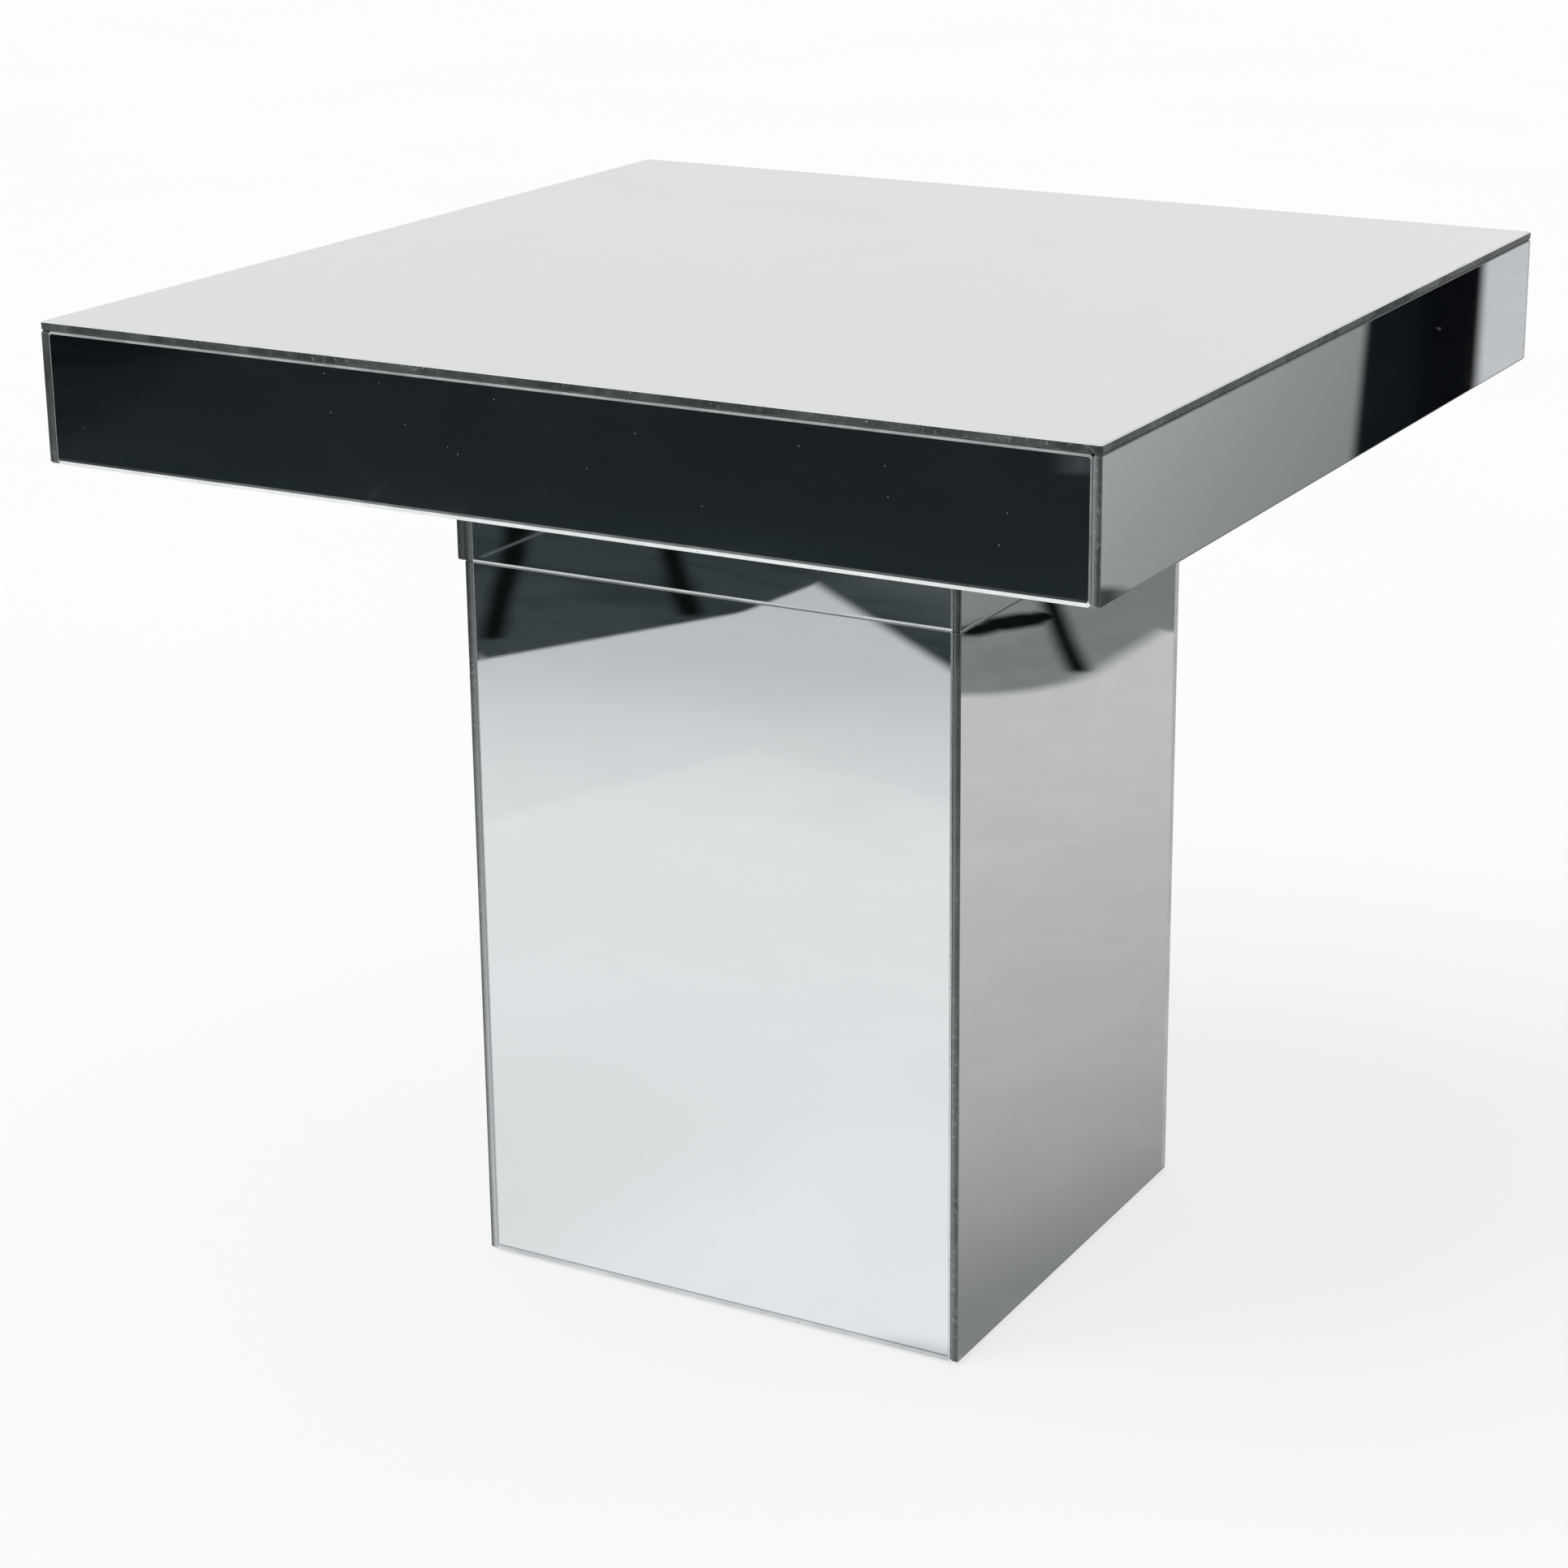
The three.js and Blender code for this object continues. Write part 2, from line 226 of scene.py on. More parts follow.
def arris_material(name, dull, bright, metallic, fading=False):
    """A ground arris: frosted glass with the grinder's grain and small chips, painted dull to bright for
    the light it catches where it stands. One that is fading loses its painted light towards both ends of
    the table."""
    material, s = new_material(name)
    place = s.place()
    broad = s.noise(place, 30, 3, 0.6)
    grain = s.noise(place, 900, 2, 0.6)
    colour = s.mix(s.step(broad, 0.25, 0.75), dull, bright)
    chips = s.step(s.noise(place, 380, 2, 0.6), 0.62, 0.76)
    colour = s.mix(s.math("MULTIPLY", chips, 0.45), colour, linear(90, 97, 97))
    if fading:
        across = s.node("ShaderNodeSeparateXYZ", {"Vector": place}).outputs[0]
        colour = s.mix(s.step(s.math("ABSOLUTE", across), 0.1, 0.36, 0, 0.85), colour, linear(44, 51, 54))
    roughness = s.step(grain, 0.3, 0.7, 0.26, 0.42)
    normal = s.bump(s.math("SUBTRACT", grain, chips), 0.35, 0.0001)
    s.surface(Base_Color=colour, Metallic=metallic, Roughness=roughness, Normal=normal)
    return material


def back_paint_material():
    """The paint that protects the silver: matt grey with roller stipple."""
    material, s = new_material("back_paint")
    place = s.place()
    stipple = s.noise(place, 320, 4, 0.6)
    patch = s.noise(place, 12, 3, 0.5)
    colour = s.mix(s.step(patch, 0.3, 0.7), linear(84, 92, 92), linear(104, 110, 109))
    colour = s.mix(s.math("MULTIPLY", s.specks(place, 60, 0.05), 0.7), colour, linear(150, 154, 150))
    roughness = s.step(stipple, 0.3, 0.7, 0.5, 0.72)
    s.surface(Base_Color=colour, Roughness=roughness, Normal=s.bump(stipple, 0.4, 0.00015))
    return material


def fibreboard_material():
    """Raw fibreboard: pressed brown fibres, a little darker where it has been sawn and handled."""
    material, s = new_material("fibreboard")
    place = s.place()
    fibre = s.noise(s.stretch(place, (1, 2.2, 1.4)), 420, 5, 0.7, 0.6)
    patch = s.noise(place, 9, 4, 0.6)
    colour = s.mix(s.step(fibre, 0.3, 0.7), linear(150, 116, 80), linear(186, 151, 110))
    colour = s.mix(s.step(patch, 0.45, 0.8, 0, 0.5), colour, linear(136, 106, 76))
    flecks = s.specks(s.stretch(place, (1, 1.7, 1)), 260, 0.16)
    colour = s.mix(s.math("MULTIPLY", flecks, 0.5), colour, linear(92, 66, 44))
    roughness = s.step(fibre, 0.3, 0.7, 0.72, 0.9)
    s.surface(Base_Color=colour, Roughness=roughness, Normal=s.bump(fibre, 0.45, 0.0002))
    return material


def black_board_material():
    """Satin black paint, brushed on: fine brush lines, rubbed patches and dust."""
    material, s = new_material("black_board")
    place = s.place()
    brush = s.noise(s.stretch(place, (1, 14, 4)), 26, 5, 0.6)
    rubbed = s.step(s.noise(place, 14, 5, 0.65, 0.8), 0.55, 0.8)
    colour = s.mix(s.step(brush, 0.3, 0.7), linear(30, 32, 33), linear(41, 43, 44))
    colour = s.mix(s.math("MULTIPLY", rubbed, 0.5), colour, linear(72, 73, 71))
    dust = s.specks(place, 150, 0.07)
    colour = s.mix(s.math("MULTIPLY", dust, 0.5), colour, linear(132, 130, 124))
    roughness = s.math("ADD", s.step(brush, 0.3, 0.7, 0.4, 0.52), s.math("MULTIPLY", rubbed, 0.2))
    s.surface(Base_Color=colour, Roughness=roughness, Normal=s.bump(brush, 0.25, 0.00015))
    return material


def pine_material(axis):
    """Planed pine whose grain runs along the given axis."""
    material, s = new_material("softwood_along_" + "xyz"[axis])
    scale = [1.0, 1.0, 1.0]
    scale[axis] = 0.07
    place = s.stretch(s.place(), scale)
    rings = s.node("ShaderNodeTexWave", {
        "Vector": place, "Scale": 95, "Distortion": 3.2, "Detail": 3, "Detail Scale": 1.4,
    }, wave_type="BANDS", bands_direction="DIAGONAL").outputs["Fac"]
    fibre = s.noise(place, 1300, 3, 0.6)
    patch = s.noise(place, 30, 3, 0.6)
    early, late = linear(222, 186, 134), linear(178, 128, 76)
    colour = s.mix(s.step(rings, 0.35, 0.95, 0, 0.8), early, late)
    colour = s.mix(s.step(fibre, 0.4, 0.75, 0, 0.35), colour, linear(156, 112, 70))
    colour = s.mix(s.step(patch, 0.4, 0.75, 0, 0.4), colour, linear(208, 160, 104))
    roughness = s.step(fibre, 0.3, 0.7, 0.5, 0.68)
    height = s.math("ADD", fibre, s.math("MULTIPLY", rings, 0.6))
    s.surface(Base_Color=colour, Roughness=roughness, Normal=s.bump(height, 0.35, 0.0002))
    return material


def steel_material():
    """Zinc-plated steel, dulled in patches, with turning lines."""
    material, s = new_material("steel")
    place = s.place()
    turning = s.noise(s.stretch(place, (1, 1, 9)), 500, 2, 0.5)
    patch = s.noise(place, 160, 4, 0.6)
    colour = s.mix(s.step(patch, 0.35, 0.7), linear(176, 178, 176), linear(196, 190, 168))
    roughness = s.step(patch, 0.3, 0.75, 0.24, 0.44)
    normal = s.bump(turning, 0.3, 0.00005)
    s.surface(Base_Color=colour, Metallic=1.0, Roughness=roughness, Normal=normal)
    return material


def nylon_material():
    """Moulded black nylon, scuffed grey where it slides."""
    material, s = new_material("nylon")
    place = s.place()
    grain = s.noise(place, 700, 3, 0.6)
    scuff = s.step(s.noise(place, 120, 5, 0.7, 1.0), 0.5, 0.75)
    colour = s.mix(s.math("MULTIPLY", scuff, 0.6), linear(30, 30, 31), linear(86, 86, 84))
    roughness = s.math("ADD", s.step(grain, 0.3, 0.7, 0.36, 0.5), s.math("MULTIPLY", scuff, 0.2))
    s.surface(Base_Color=colour, Roughness=roughness, Normal=s.bump(grain, 0.3, 0.0001))
    return material


# ---------------------------------------------------------------------------------------------------------
# Panes of mirror

ARRIS_DROP = 0.6 * MM
BACK_ARRIS = 0.8 * MM
PANE_SLOTS = (
    "mirror", "rim", "painted_ghost_line", "ghost", "dim", "soft", "light", "seam", "bright", "foot", "edge", "back",
)
SIDE_ORDER = ("bottom", "end", "top", "start")


def rim(arris, kind, band=0.35, band_kind="rim"):
    """How one side of a pane's mirror face ends: the ground arris's width in millimetres and how bright it
    is painted, then the band next to it where the silver's own edge shows through the glass, unless its
    band_kind makes it a band of painted light, a painted reflection of light inside the glass."""
    return {"arris": arris * MM, "kind": kind, "band": band * MM, "band_kind": band_kind}


def rims(bottom, top, start, end):
    return {"bottom": bottom, "top": top, "start": start, "end": end}


FINE = rim(0.6, "dim")
SOFT = rim(1.3, "soft", 0.2)
TOP_RIMS = rims(*[rim(0.9, "seam")] * 4)
# Panes that face the front or the back
FACING_RIMS = {
    # On the aprons the bottom arris is painted bright, and the band above it is a painted ghost line: a
    # painted reflection of light inside the glass.
    "apron": rims(rim(2.7, "bright", 1.7, "painted_ghost_line"), rim(1.7, "light", 0.2), SOFT, rim(1.3, "light", 0.2)),
    "neck": rims(rim(1.9, "seam", 0.05), FINE, SOFT, SOFT),
    "plinth": rims(rim(3.4, "foot", 1.4), rim(0.5, "seam", 0.05), SOFT, SOFT),
}
# Panes that face left or right
SIDE_RIMS = {
    # At the far end of each side pane a wide band is painted light: a painted reflection of the glass's
    # edge inside the pane.
    "apron": rims(rim(0.9, "dim", 0.5), FINE, FINE, rim(0.6, "light", 4.0, "ghost")),
    "neck": rims(rim(1.4, "light", 0.1), FINE, FINE, rim(0.7, "light", 7.0, "ghost")),
    "plinth": rims(rim(1.0, "dim"), rim(0.7, "light", 0.1), FINE, rim(0.7, "light", 7.0, "ghost")),
}
# How far the bottom and top corners of a pane are rubbed off, in millimetres
DUBBED = {"apron": (1.7, 1.7), "neck": (0.3, 1.0), "plinth": (1.4, 0.3)}
STRIP_DUBBED = (1.2, 1.0)
# Daylight through the edges of the left and right panes, at the bottom and at the top
EDGE_LIGHT = {
    "left": {"apron": (0.34, 0.2), "neck": (0.5, 0.45), "plinth": (1.0, 0.5)},
    "right": {"apron": (0.6, 0.6), "neck": (0.5, 0.5), "plinth": (0.5, 0.5)},
}
STRIP_LIGHT = (0.35, 0.35)


def octagon(low, high, insets, cuts):
    """A rectangle inset by its own amount on each side, its bottom and top corners cut by the two cuts, as
    eight (u, v) points."""
    u0, u1 = low[0] + insets["start"], high[0] - insets["end"]
    v0, v1 = low[1] + insets["bottom"], high[1] - insets["top"]
    bottom, top = cuts
    return [
        (u0 + bottom, v0), (u1 - bottom, v0), (u1, v0 + bottom), (u1, v1 - top),
        (u1 - top, v1), (u0 + top, v1), (u0, v1 - top), (u0, v0 + bottom),
    ]


def pane(node, body, outward, sides, materials, dubbed=(1.0, 1.0), lit=None):
    """Rebuilds one pane. outward is the axis and sign of its mirror face, such as (1, -1) for -Y. dubbed is
    how far its bottom and top corners are rubbed off, in millimetres. lit gives how much daylight reaches
    the back of the pane's edge at its bottom and at its top."""
    axis, sign = outward
    low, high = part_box(node)
    u_axis, v_axis = [a for a in range(3) if a != axis]
    low_uv, high_uv = (low[u_axis], low[v_axis]), (high[u_axis], high[v_axis])
    thickness = high[axis] - low[axis]
    face = high[axis] if sign > 0 else low[axis]

    arrises = {side: spec["arris"] for side, spec in sides.items()}
    bands = {side: spec["arris"] + spec["band"] for side, spec in sides.items()}
    none = dict.fromkeys(SIDE_ORDER, 0.0)
    back = dict.fromkeys(SIDE_ORDER, BACK_ARRIS)

    work = bmesh.new()
    through = work.verts.layers.float.new("lit")

    def loop(insets, depth, share):
        points = []
        cuts = [amount * MM * share for amount in dubbed]
        for u, v in octagon(low_uv, high_uv, insets, cuts):
            point = [0.0, 0.0, 0.0]
            point[u_axis], point[v_axis], point[axis] = u, v, face - sign * depth
            points.append(work.verts.new(point))
            if lit:
                height = (v - low_uv[1]) / (high_uv[1] - low_uv[1])
                light = lit[0] + (lit[1] - lit[0]) * height
                points[-1][through] = light * (0.15 + 0.85 * depth / thickness)
        return points

    loops = [
        loop(bands, 0, 0.5),
        loop(arrises, 0, 0.7),
        loop(none, ARRIS_DROP, 1.0),
        loop(none, thickness - BACK_ARRIS, 1.0),
        loop(back, thickness, 0.7),
    ]
    for number, (outer, inner) in enumerate(zip(loops, loops[1:])):
        for i in range(8):
            j = (i + 1) % 8
            spec = sides[SIDE_ORDER[i // 2]]
            kind = (spec["band_kind"], spec["kind"], "edge", "edge" if lit else "dim")[number]
            side = work.faces.new((outer[i], outer[j], inner[j], inner[i]))
            side.material_index = PANE_SLOTS.index(kind)
    work.faces.new(loops[0]).material_index = PANE_SLOTS.index("mirror")
    work.faces.new(loops[-1]).material_index = PANE_SLOTS.index("back")
    bmesh.ops.recalc_face_normals(work, faces=work.faces)

    mesh = bpy.data.meshes.new(node + "_pane")
    work.to_mesh(mesh)
    work.free()
    for kind in PANE_SLOTS:
        mesh.materials.append(materials[kind])
    piece = bpy.data.objects.new(node + "_pane", mesh)
    bpy.context.scene.collection.objects.link(piece)
    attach(piece, body)
    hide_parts(node)
    return piece


# ---------------------------------------------------------------------------------------------------------
# Boards and fixings keep their CAD shape


def soften(thing, width):
    """Takes the sharpness off a board's edges, inside its own outline."""
    bevel = thing.modifiers.new("softened_edges", "BEVEL")
    bevel.width = width
    bevel.segments = 2
    bevel.limit_method = "ANGLE"
    bevel.angle_limit = math.radians(40)


def finish_node(node, material, edge=None):
    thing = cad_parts[node]
    thing.data.materials.clear()
    thing.data.materials.append(material)
    if edge:
        soften(thing, edge)


# ---------------------------------------------------------------------------------------------------------
# The room. The floor is what the eye sees; the mirrors see another floor, painted with what lies round the
# table, and a sky, both of which only mirror rays meet. The mirrors' floor is not lit: it glows with its
# painted colours, painted shade included, so what the mirrors show of it is a painted reflection.

FLOOR_HALF = 30
MIRROR_FLOOR_DROP = 0.5 * MM
FLOOR_GLOW = 0.69
# A mirror gives back this share of each colour, so what it sees is made that much stronger.
RETURNED = (0.862, 0.902, 0.902)
RETURNED_FLAT = (0.885, 0.917, 0.917)


def stage_mesh(name, corners, material):
    mesh = bpy.data.meshes.new(name)
    mesh.from_pydata(corners, [], [tuple(range(len(corners)))])
    mesh.materials.append(material)
    thing = bpy.data.objects.new(name, mesh)
    bpy.context.scene.collection.objects.link(thing)
    return thing


def floor_square(height):
    h = FLOOR_HALF
    return [(-h, -h, height), (h, -h, height), (h, h, height), (-h, h, height)]


def pale_floor():
    material, s = new_material("floor")
    material.cycles.emission_sampling = "NONE"
    place = s.place()
    tone = s.noise(place, 1.4, 3, 0.5)
    colour = s.mix(s.step(tone, 0.3, 0.7), (0.262, 0.263, 0.264, 1), (0.267, 0.267, 0.266, 1))
    grain = s.noise(place, 260, 3, 0.6)
    shader = s.surface(Base_Color=colour, Roughness=s.step(grain, 0.3, 0.7, 0.7, 0.8))
    shader.inputs["Specular IOR Level"].default_value = 0.0
    shader.inputs["Emission Color"].default_value = (1, 1, 1, 1)
    shader.inputs["Emission Strength"].default_value = FLOOR_GLOW
    stage_mesh("floor", floor_square(0), material).visible_glossy = False


def beyond_line(s, place, a, b, softness):
    """1 to the left of the line from a to b, 0 to its right, with a soft change between the two."""
    along = Vector((b[0] - a[0], b[1] - a[1])).normalized()
    normal = (-along.y, along.x, 0)
    offset = a[0] * normal[0] + a[1] * normal[1]
    distance = s.math("SUBTRACT", s.vector_math("DOT_PRODUCT", place, normal), offset)
    return s.step(distance, -softness, softness)


def inside_corner(s, place, corner, sign_x, sign_y, radius, softness):
    """1 inside a quadrant that opens from corner towards the two signs, with its corner rounded."""
    shift = s.vector_math("SUBTRACT", place, (*corner, 0))
    turned = s.vector_math("MULTIPLY", shift, (-sign_x, -sign_y, 0))
    nearer = s.vector_math("ADD", turned, (radius, radius, 0))
    outside = s.vector_math("LENGTH", s.vector_math("MAXIMUM", nearer, (0, 0, 0)))
    return s.step(s.math("SUBTRACT", outside, radius), softness, -softness)


def bar(s, place, a, b, width, softness):
    """1 along a round-ended bar from a to b."""
    along = Vector((b[0] - a[0], b[1] - a[1], 0))
    shift = s.vector_math("SUBTRACT", place, (*a, 0))
    reach = s.vector_math("DOT_PRODUCT", shift, tuple(along))
    share = s.math("DIVIDE", reach, along.length_squared, clamp=True)
    inputs = {0: tuple(along), "Scale": share}
    nearest = s.node("ShaderNodeVectorMath", inputs, operation="SCALE").outputs[0]
    distance = s.vector_math("LENGTH", s.vector_math("SUBTRACT", shift, nearest))
    return s.step(distance, width / 2 + softness, width / 2 - softness)


def both(s, *masks):
    result = masks[0]
    for mask in masks[1:]:
        result = s.math("MULTIPLY", result, mask)
    return result


def either(s, *masks):
    result = masks[0]
    for mask in masks[1:]:
        result = s.math("MAXIMUM", result, mask)
    return result


def weighted(s, x, y, of_x, of_y, constant):
    """of_x * x + of_y * y + constant"""
    total = s.math("ADD", s.math("MULTIPLY", x, of_x), s.math("MULTIPLY", y, of_y))
    return s.math("ADD", total, constant)


def tones(s, value, stops):
    """Colours at given values, straight from one to the next."""
    low, high = stops[0][0], stops[-1][0]
    share = s.math("DIVIDE", s.math("SUBTRACT", value, low), high - low, clamp=True)
    return s.ramp(share, [((at - low) / (high - low), linear(*colour)) for at, colour in stops])


def tinted(s, colour, mask, strength, tint):
    return s.mix(s.math("MULTIPLY", mask, strength), colour, linear(*tint))


# What is painted on the mirrors' floor, in metres from the middle of the table. Tones are 8-bit colours at
# places along a ramp. An edge is two points and a softness, and a bar two points and a width. The places
# were picked on the photograph's reflections and traced to the floor through the fitted camera, and
# the tones were set to agree with it.
PALE_TONES = (
    (0.2, (226, 230, 233)), (0.5, (222, 226, 228)), (0.9, (221, 225, 226)), (1.1, (221, 225, 226)),
    (1.25, (215, 220, 221)), (1.4, (206, 211, 212)), (1.55, (191, 197, 199)), (1.7, (180, 185, 189)),
    (2.0, (172, 178, 182)),
)
SHADE_TONES = (
    (0.0, (124, 127, 127)), (0.16, (137, 140, 139)), (0.31, (149, 152, 151)), (0.55, (161, 163, 162)),
    (0.82, (169, 171, 170)), (1.05, (174, 176, 175)), (1.47, (179, 181, 180)), (1.84, (184, 186, 186)),
    (2.1, (187, 189, 188)), (2.5, (189, 192, 191)),
)
CLOTH_TONES = (
    (1.0, (117, 121, 121)), (1.15, (121, 125, 125)), (1.28, (127, 131, 131)), (1.4, (138, 142, 143)),
    (1.65, (162, 166, 167)),
)
DARK_TONES = (
    (1.4, (60, 68, 70)), (1.9, (50, 59, 61)), (2.25, (44, 53, 55)), (2.5, (31, 39, 42)),
    (2.7, (26, 32, 35)), (3.2, (23, 30, 33)), (4.0, (19, 25, 28)),
)
SHADE_STEP_EDGES = (
    ((-0.678, -1.246), (-0.766, -1.021), 0.022), ((-0.391, -1.304), (-0.601, -1.349), 0.03),
)
BLACK_BAND = ((1.332, 2.564), (1.657, 3.494), 0.011)
PALE_BEYOND = ((1.341, 3.148), (1.671, 4.165), 0.012)
DARK_LEFT = (
    ((-0.920, -1.820), (-1.097, -1.496), 0.009), ((-0.902, -1.979), (-0.920, -1.820), 0.007),
)
DARK_AHEAD = ((-0.646, -1.777), (-0.899, -1.977), 0.014)
DARKEST = ((-2.520, -3.090), (-2.370, -2.680), 0.13)
CHAIR_FEET = (
    ((-1.141, -1.590), (-1.243, -1.766), 0.030), ((-1.243, -1.766), (-1.312, -1.893), 0.032),
    ((-1.312, -1.893), (-1.376, -2.000), 0.036), ((-1.376, -2.000), (-1.450, -2.120), 0.038),
    ((-0.978, -1.792), (-1.060, -1.900), 0.033), ((-1.060, -1.900), (-1.200, -2.100), 0.029),
    ((0.850, 1.419), (0.905, 1.505), 0.027), ((0.905, 1.505), (1.005, 1.670), 0.026),
    ((1.031, 1.503), (1.013, 1.549), 0.044), ((1.013, 1.549), (0.994, 1.579), 0.059),
    ((0.994, 1.579), (0.981, 1.602), 0.046),
)
CHAIR_SOFTNESS = 0.013


class Ground:
    """What every patch of the painted floor is made from: the place on it and a few broad noises."""

    def __init__(self, s):
        self.place = s.place()
        apart = s.node("ShaderNodeSeparateXYZ", {"Vector": self.place})
        self.x, self.y = apart.outputs[0], apart.outputs[1]
        self.wobble = s.math("SUBTRACT", s.noise(self.place, 2.6, 4, 0.6), 0.5)
        self.mottle = s.noise(s.stretch(self.place, (1, 1.6, 1)), 3.4, 4, 0.55, 0.6)
        self.swirls = s.noise(s.stretch(self.place, (1.4, 1, 1)), 7.5, 4, 0.6, 0.9)


def pale_ground(s, g):
    """Pale floor in front of the table, duller further off, with soft steps of painted shade and a painted
    shade at front left.
    """
    away = weighted(s, g.x, g.y, -0.2, -1.0, -0.12)
    away = s.math("ADD", away, s.math("MULTIPLY", g.wobble, 0.16))
    colour = tones(s, away, PALE_TONES)
    colour = s.mix(s.step(g.mottle, 0.4, 0.75, 0, 0.14), colour, linear(198, 206, 208))
    # Painted shade: darker in soft steps beyond two edges.
    stepped_shade = either(s, *[beyond_line(s, g.place, *edge) for edge in SHADE_STEP_EDGES])
    colour = tinted(s, colour, stepped_shade, 0.26, (194, 200, 202))
    hollow = bar(s, g.place, (-0.457, -1.211), (-0.332, -1.128), 0.07, 0.05)
    colour = tinted(s, colour, hollow, 0.14, (194, 200, 202))
    # Painted shade over a patch at the front left of the table.
    dull = both(s, s.step(g.x, -0.02, -0.24), s.step(g.y, -0.66, -0.40))
    return s.mix(dull, colour, linear(215, 220, 221))


def own_shade(s, g, colour):
    """The table's own shade falls to its right."""
    side = tones(s, weighted(s, g.x, g.y, 2.8, 0.9, -0.56), SHADE_TONES)
    side = s.mix(s.step(g.mottle, 0.4, 0.8, 0, 0.12), side, linear(166, 168, 169))
    swirled = s.mix(1.0, side, (0.93, 0.93, 0.93, 1), "MULTIPLY")
    side = s.mix(s.step(g.swirls, 0.34, 0.62, 0, 0.5), side, swirled)
    return s.mix(inside_corner(s, g.place, (0.11, -0.195), 1, 1, 0.06, 0.03), colour, side)


def rear_ground(s, g, colour):
    """Behind the table, and far off to its right."""
    rear = s.mix(s.step(g.mottle, 0.3, 0.8), linear(96, 103, 105), linear(70, 77, 80))
    colour = s.mix(inside_corner(s, g.place, (0.45, 1.9), -1, 1, 0.4, 0.12), colour, rear)
    return s.mix(inside_corner(s, g.place, (1.75, 0.9), 1, -1, 0.3, 0.12), colour, rear)


def grey_cloth(s, g, colour):
    """A grey cloth at the right rear, with a black band across it and pale floor beyond."""
    grey = tones(s, weighted(s, g.x, g.y, 0.86, -0.22, 0.67), CLOTH_TONES)
    creased = both(s, s.step(g.swirls, 0.34, 0.66, 0, 0.6), s.step(g.x, 1.13, 1.03))
    grey = s.mix(creased, grey, linear(110, 115, 115))
    near = inside_corner(s, g.place, (0.826, 1.240), 1, 1, 0.19, 0.020)
    rear = inside_corner(s, g.place, (0.800, 1.612), 1, 1, 0.02, 0.015)
    colour = s.mix(either(s, near, rear), colour, grey)

    far = s.step(g.y, 2.15, 2.35)
    bearing = s.math("DIVIDE", s.math("ADD", g.x, 0.434), s.math("ADD", g.y, 2.253))
    streaks = s.noise(s.node("ShaderNodeCombineXYZ", {"X": bearing}).outputs[0], 260, 3, 0.6)
    streaks = s.math("MULTIPLY", s.math("SUBTRACT", streaks, 0.5), 0.012)
    parted = s.step(s.math("ADD", bearing, streaks), 0.342, 0.355)
    black = s.mix(parted, linear(6, 8, 11), linear(13, 20, 23))
    colour = s.mix(both(s, far, beyond_line(s, g.place, *BLACK_BAND)), colour, black)
    pale = s.mix(s.step(g.mottle, 0.3, 0.7), linear(184, 188, 192), linear(191, 194, 196))
    colour = s.mix(both(s, far, beyond_line(s, g.place, *PALE_BEYOND)), colour, pale)
    glint = bar(s, g.place, (1.532, 3.512), (1.538, 3.528), 0.003, 0.003)
    return s.mix(glint, colour, linear(96, 101, 103))


def dark_ground(s, g, colour):
    """Dark ground to the left and in front, with one corner of pale floor between."""
    left = both(s, *[beyond_line(s, g.place, *edge) for edge in DARK_LEFT])
    left = either(s, left, bar(s, g.place, (-0.957, -1.798), (-0.936, -1.836), 0.022, 0.006))
    ahead = beyond_line(s, g.place, *DARK_AHEAD)
    to_left = s.math("SUBTRACT", s.math("MULTIPLY", g.x, -1.0), 0.4)
    depth = s.math("MAXIMUM", s.math("MULTIPLY", g.y, -1.0), to_left)
    depth = s.math("ADD", depth, s.math("MULTIPLY", g.wobble, 0.25))
    ground = tones(s, depth, DARK_TONES)
    ground = s.mix(beyond_line(s, g.place, *DARKEST), ground, linear(9, 13, 16))
    patches = s.noise(s.stretch(g.place, (1, 2.2, 1)), 3.1, 3, 0.55, 1.0)
    ground = s.mix(s.step(patches, 0.42, 0.66, 0, 0.5), ground, linear(26, 33, 35))
    worn = bar(s, g.place, (-0.80, -2.05), (-0.60, -1.98), 0.16, 0.10)
    ground = tinted(s, ground, worn, 0.85, (76, 83, 85))
    scuff = bar(s, g.place, (-0.890, -3.190), (-0.858, -3.120), 0.045, 0.035)
    ground = tinted(s, ground, scuff, 0.8, (66, 73, 75))
    return s.mix(either(s, left, ahead), colour, ground)


def chairs(s, g, colour):
    """The feet of two chairs, a dark spot beside them and a thin cord."""
    feet = either(s, *[bar(s, g.place, *foot, CHAIR_SOFTNESS) for foot in CHAIR_FEET])
    colour = s.mix(feet, colour, linear(8, 12, 13))
    spot = bar(s, g.place, (1.328, 1.682), (1.352, 1.734), 0.054, 0.028)
    colour = tinted(s, colour, spot, 0.9, (34, 40, 42))
    cord = bar(s, g.place, (-1.359, -1.893), (-1.358, -2.060), 0.006, 0.004)
    return tinted(s, colour, cord, 0.7, (104, 112, 113))


def room():
    material, s = new_material("room_floor")
    material.cycles.emission_sampling = "NONE"
    g = Ground(s)
    colour = pale_ground(s, g)
    for patch in (own_shade, rear_ground, grey_cloth, dark_ground, chairs):
        colour = patch(s, g, colour)
    colour = s.mix(1.0, colour, (*(1 / share for share in RETURNED), 1), "MULTIPLY")
    # The painted floor glows with its own colour instead of taking light.
    shader = s.node("ShaderNodeEmission", {"Color": colour, "Strength": 1.0})
    output = s.node("ShaderNodeOutputMaterial")
    s.tree.links.new(shader.outputs[0], output.inputs[0])
    thing = stage_mesh("room_floor", floor_square(-MIRROR_FLOOR_DROP), material)
    thing.visible_camera = False
    thing.visible_diffuse = False
    thing.visible_transmission = False
    thing.visible_volume_scatter = False
    thing.visible_shadow = False


LAMP_POWER = 1.15
LAMP_SPREAD = math.radians(42)
LAMP_TOWARDS = (-0.45, -0.5, 1.0)
SKY_FILL = 0.80


